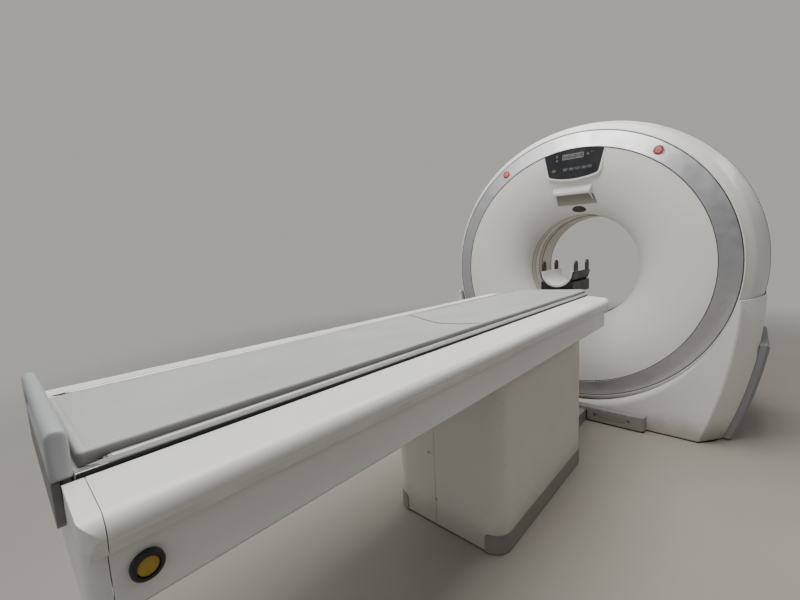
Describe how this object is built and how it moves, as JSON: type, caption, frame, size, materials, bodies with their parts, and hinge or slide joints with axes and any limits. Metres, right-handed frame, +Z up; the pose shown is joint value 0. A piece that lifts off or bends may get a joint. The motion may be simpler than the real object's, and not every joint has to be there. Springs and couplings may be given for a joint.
{
  "type": "ct scanner",
  "caption": "CT scanner: a round tilting gantry with a wide bore and a height-adjustable patient table whose padded cradle slides into the bore",
  "frame": {"origin": "on the floor straight below the centre of the bore, at the centre of the gantry's anchor holes", "axes": "+Z up, +Y from the patient table into the bore along the bore axis, +X to the right as seen from the foot of the table"},
  "size_m": [1.9038, 3.352, 1.8998],
  "materials": {
    "frame_steel": "satin grey paint",
    "foot_rubber": "matt black rubber",
    "cover_white": "semi-gloss moulded cover, off-white",
    "cover_cream": "semi-gloss moulded cover, warm white",
    "panel_grey": "fine grained grey plastic, scuffed",
    "plinth_grey": "grey plastic with chipped edges",
    "column_grey": "satin grey paint",
    "pedestal_white": "satin off-white paint",
    "ring_silver": "metallic silver paint",
    "bore_dark": "matt grey plastic",
    "bore_light": "light grey plastic",
    "window_cream": "cream scan window",
    "control_black": "glossy black plastic",
    "display_grey": "grey display window",
    "lens_dark": "dark window",
    "button_red": "red plastic",
    "rotor_grey": "grey paint",
    "slip_brass": "turned brass tracks",
    "sleeve_cream": "satin warm white paint",
    "rail_white": "satin off-white paint, worn edges",
    "bumper_dark": "dark grey plastic",
    "button_yellow": "yellow plastic",
    "cradle_grey": "light grey laminate",
    "cradle_alu": "brushed aluminium",
    "pad_grey": "soft grey vinyl pad",
    "handle_grey": "blue-grey paint, worn",
    "holder_black": "black plastic",
    "holder_light": "pale grey liner"
  },
  "bodies": {
    "base": {"frame_right": "frame_steel", "frame_left": "frame_steel", "beam_front": "frame_steel", "beam_rear": "frame_steel", "levelling_feet": "foot_rubber", "base_cover_front": "cover_white", "base_cover_rear": "cover_cream", "side_panel_right": "panel_grey", "side_panel_left": "panel_grey", "plinth": "plinth_grey", "floor_link": "plinth_grey", "table_base": "frame_steel", "lift_column": "column_grey", "pedestal_cover": "pedestal_white", "pedestal_kick": "panel_grey"},
    "drum": {"donut_cover": "cover_white", "trim_ring": "ring_silver", "barrel_front": "cover_white", "cover_rear": "cover_cream", "bore_liner_front": "bore_dark", "bore_ring": "bore_light", "scan_window": "window_cream", "bore_liner_rear": "bore_dark", "control_panel": "control_black", "display_window": "display_grey", "laser_window": "lens_dark", "tilt_frame": "frame_steel", "stop_socket_left": "ring_silver", "stop_socket_right": "ring_silver"},
    "stop_left": {"stop_button_left": "button_red"},
    "stop_right": {"stop_button_right": "button_red"},
    "rotor": {"rotor_frame": "rotor_grey", "xray_tube": "rotor_grey", "detector_arc": "rotor_grey", "power_units": "rotor_grey", "slip_ring": "slip_brass"},
    "table": {"lift_sleeve": "sleeve_cream", "lift_inner": "column_grey", "table_chassis": "column_grey", "rail_right": "rail_white", "rail_left": "rail_white", "side_cover_right": "rail_white", "side_cover_left": "rail_white", "foot_cap": "rail_white", "foot_bumper": "bumper_dark", "head_nose": "rail_white", "release_bezel": "control_black"},
    "release": {"release_button": "button_yellow"},
    "cradle": {"cradle_shell": "cradle_grey", "cradle_rail_right": "cradle_alu", "cradle_rail_left": "cradle_alu", "cradle_pad": "pad_grey", "foot_handle": "handle_grey", "holder_bracket": "bumper_dark", "holder_carrier": "holder_black", "holder_liner": "holder_light", "holder_lugs": "holder_black"}
  },
  "joints": [
    {"name": "gantry_tilt", "type": "hinge", "parent": "base", "child": "drum", "pos_m": [0, 0, 0.96], "axis": [-1, 0, 0], "range_deg": [-30, 30]},
    {"name": "rotor_spin", "type": "hinge", "parent": "drum", "child": "rotor", "pos_m": [0, 0, 0.96], "axis": [0, 1, 0], "continuous": true},
    {"name": "table_lift", "type": "slide", "parent": "base", "child": "table", "axis": [0, 0, 1], "range_m": [-0.08, 0.13]},
    {"name": "cradle_slide", "type": "slide", "parent": "table", "child": "cradle", "axis": [0, 1, 0], "range_m": [0, 1.6]},
    {"name": "release_press", "type": "slide", "parent": "table", "child": "release", "axis": [-1, 0, 0], "range_m": [0, 0.003], "stiffness_N_per_m": 800},
    {"name": "stop_left_press", "type": "slide", "parent": "drum", "child": "stop_left", "axis": [0, 1, 0], "range_m": [0, 0.003], "stiffness_N_per_m": 800},
    {"name": "stop_right_press", "type": "slide", "parent": "drum", "child": "stop_right", "axis": [0, 1, 0], "range_m": [0, 0.003], "stiffness_N_per_m": 800}
  ]
}
